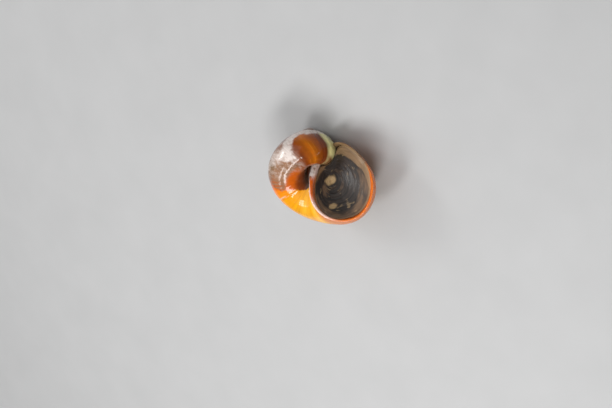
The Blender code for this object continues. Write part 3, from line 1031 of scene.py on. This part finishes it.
def camera_axes():
    """Towards the camera, and the picture's right and up, in the shell frame."""
    level = math.cos(CAMERA_RISE)
    towards = np.array([math.sin(CAMERA_TURN) * level, -math.cos(CAMERA_TURN) * level, math.sin(CAMERA_RISE)])
    right = np.array([math.cos(CAMERA_TURN), math.sin(CAMERA_TURN), 0.0])
    up = np.cross(towards, right)
    cos_roll, sin_roll = math.cos(CAMERA_ROLL), math.sin(CAMERA_ROLL)
    return towards, right * cos_roll + up * sin_roll, up * cos_roll - right * sin_roll


def add_camera():
    """The photo's camera. It stands where the fit puts it, and turns a little so that the apex
    lands where the photo shows it."""
    towards, right, up = (LIE @ axis for axis in camera_axes())
    place = placed(np.zeros((1, 3)))[0] * 0 + SHIFT + towards * CAMERA_DISTANCE
    focal = FOCAL_LENGTH / SENSOR_WIDTH * PICTURE[0]
    off_right = (APEX_IN_PICTURE[0] - PICTURE[0] / 2) / focal
    off_up = (PICTURE[1] / 2 - APEX_IN_PICTURE[1]) / focal
    ray = -towards
    look = ray - off_right * right - off_up * up
    look /= np.linalg.norm(look)
    side = np.cross(look, up)
    side /= np.linalg.norm(side)
    top = np.cross(side, look)
    data = bpy.data.cameras.new("photo_camera")
    data.lens = FOCAL_LENGTH
    data.sensor_width = SENSOR_WIDTH
    data.clip_start = 0.01
    camera = bpy.data.objects.new("photo_camera", data)
    bpy.context.scene.collection.objects.link(camera)
    matrix = np.eye(4)
    matrix[:3, 0], matrix[:3, 1], matrix[:3, 2], matrix[:3, 3] = side, top, -look, place
    camera.matrix_world = Matrix(matrix)
    bpy.context.scene.camera = camera


def add_light(name, start, end, width, radiance, distance=0.6):
    """A long soft light. start and end are the directions of its two ends, as the picture's
    right and up and the way to the camera."""
    towards, right, up = (LIE @ axis for axis in camera_axes())
    ends = []
    for direction in (start, end):
        direction = direction[0] * right + direction[1] * up + direction[2] * towards
        ends.append(direction / np.linalg.norm(direction) * distance)
    middle = (ends[0] + ends[1]) / 2
    along = ends[1] - ends[0]
    length = np.linalg.norm(along)
    along /= length
    facing = middle - middle.dot(along) * along
    facing /= np.linalg.norm(facing)
    data = bpy.data.lights.new(name, "AREA")
    data.shape = "RECTANGLE"
    data.size, data.size_y = length, width
    data.energy = radiance * math.pi * length * width
    light = bpy.data.objects.new(name, data)
    bpy.context.scene.collection.objects.link(light)
    matrix = np.eye(4)
    matrix[:3, 0], matrix[:3, 1], matrix[:3, 2] = along, np.cross(facing, along), facing
    matrix[:3, 3] = middle + (0, 0, LIGHT_AIM)
    light.matrix_world = Matrix(matrix)


def add_floor():
    bpy.ops.mesh.primitive_plane_add(size=6, location=(0, 0, -0.00002))
    floor = bpy.context.object
    floor.name = "floor"
    made = Nodes("pale_floor")
    grain = made.noise(made.tree.nodes.new("ShaderNodeNewGeometry").outputs["Position"], 40.0, 2.0)
    made.set(Base_Color=made.ramp(grain, (0.0, 0.36), (1.0, 0.4)), Roughness=0.8)
    floor.data.materials.append(made.material)


def add_world():
    world = bpy.data.worlds.new("studio")
    world.use_nodes = True
    background = world.node_tree.nodes["Background"]
    background.inputs["Color"].default_value = (0.97, 0.98, 1.0, 1.0)
    background.inputs["Strength"].default_value = 0.16
    bpy.context.scene.world = world


wet_shell = shell_material()
for skin_name in SKINS:
    skin(skin_name, wet_shell)
lip_piece("shell_outer_lip", math.radians(100), LIP_MEETING, 420, lip_material("outer_lip", 0))
lip_piece("shell_columellar_lip", LIP_MEETING, math.radians(-236), 300, lip_material("columellar_lip", 1))
operculum(operculum_material())
foot(foot_material())
add_floor()
add_world()
add_camera()
add_light("panel", (-0.64, 0.9, 0.6), (-0.96, -1.0, 0.6), 1.4, 0.85, distance=1.0)
add_light("ring", (-0.97, 0.16, 0.24), (-0.88, 0.4, 0.25), 0.12, 11.0)
add_light("window", (0.1, -0.45, 0.88), (-0.26, -0.86, 0.42), 0.1, 18.0)
add_light("sparkle", (-0.64, -0.44, 0.62), (-0.64, -0.74, 0.16), 0.1, 12.0)
add_light("fill", (0.9, 0.25, 0.42), (0.75, -0.5, 0.42), 0.07, 10.0)
bpy.context.scene.view_settings.view_transform = "Standard"
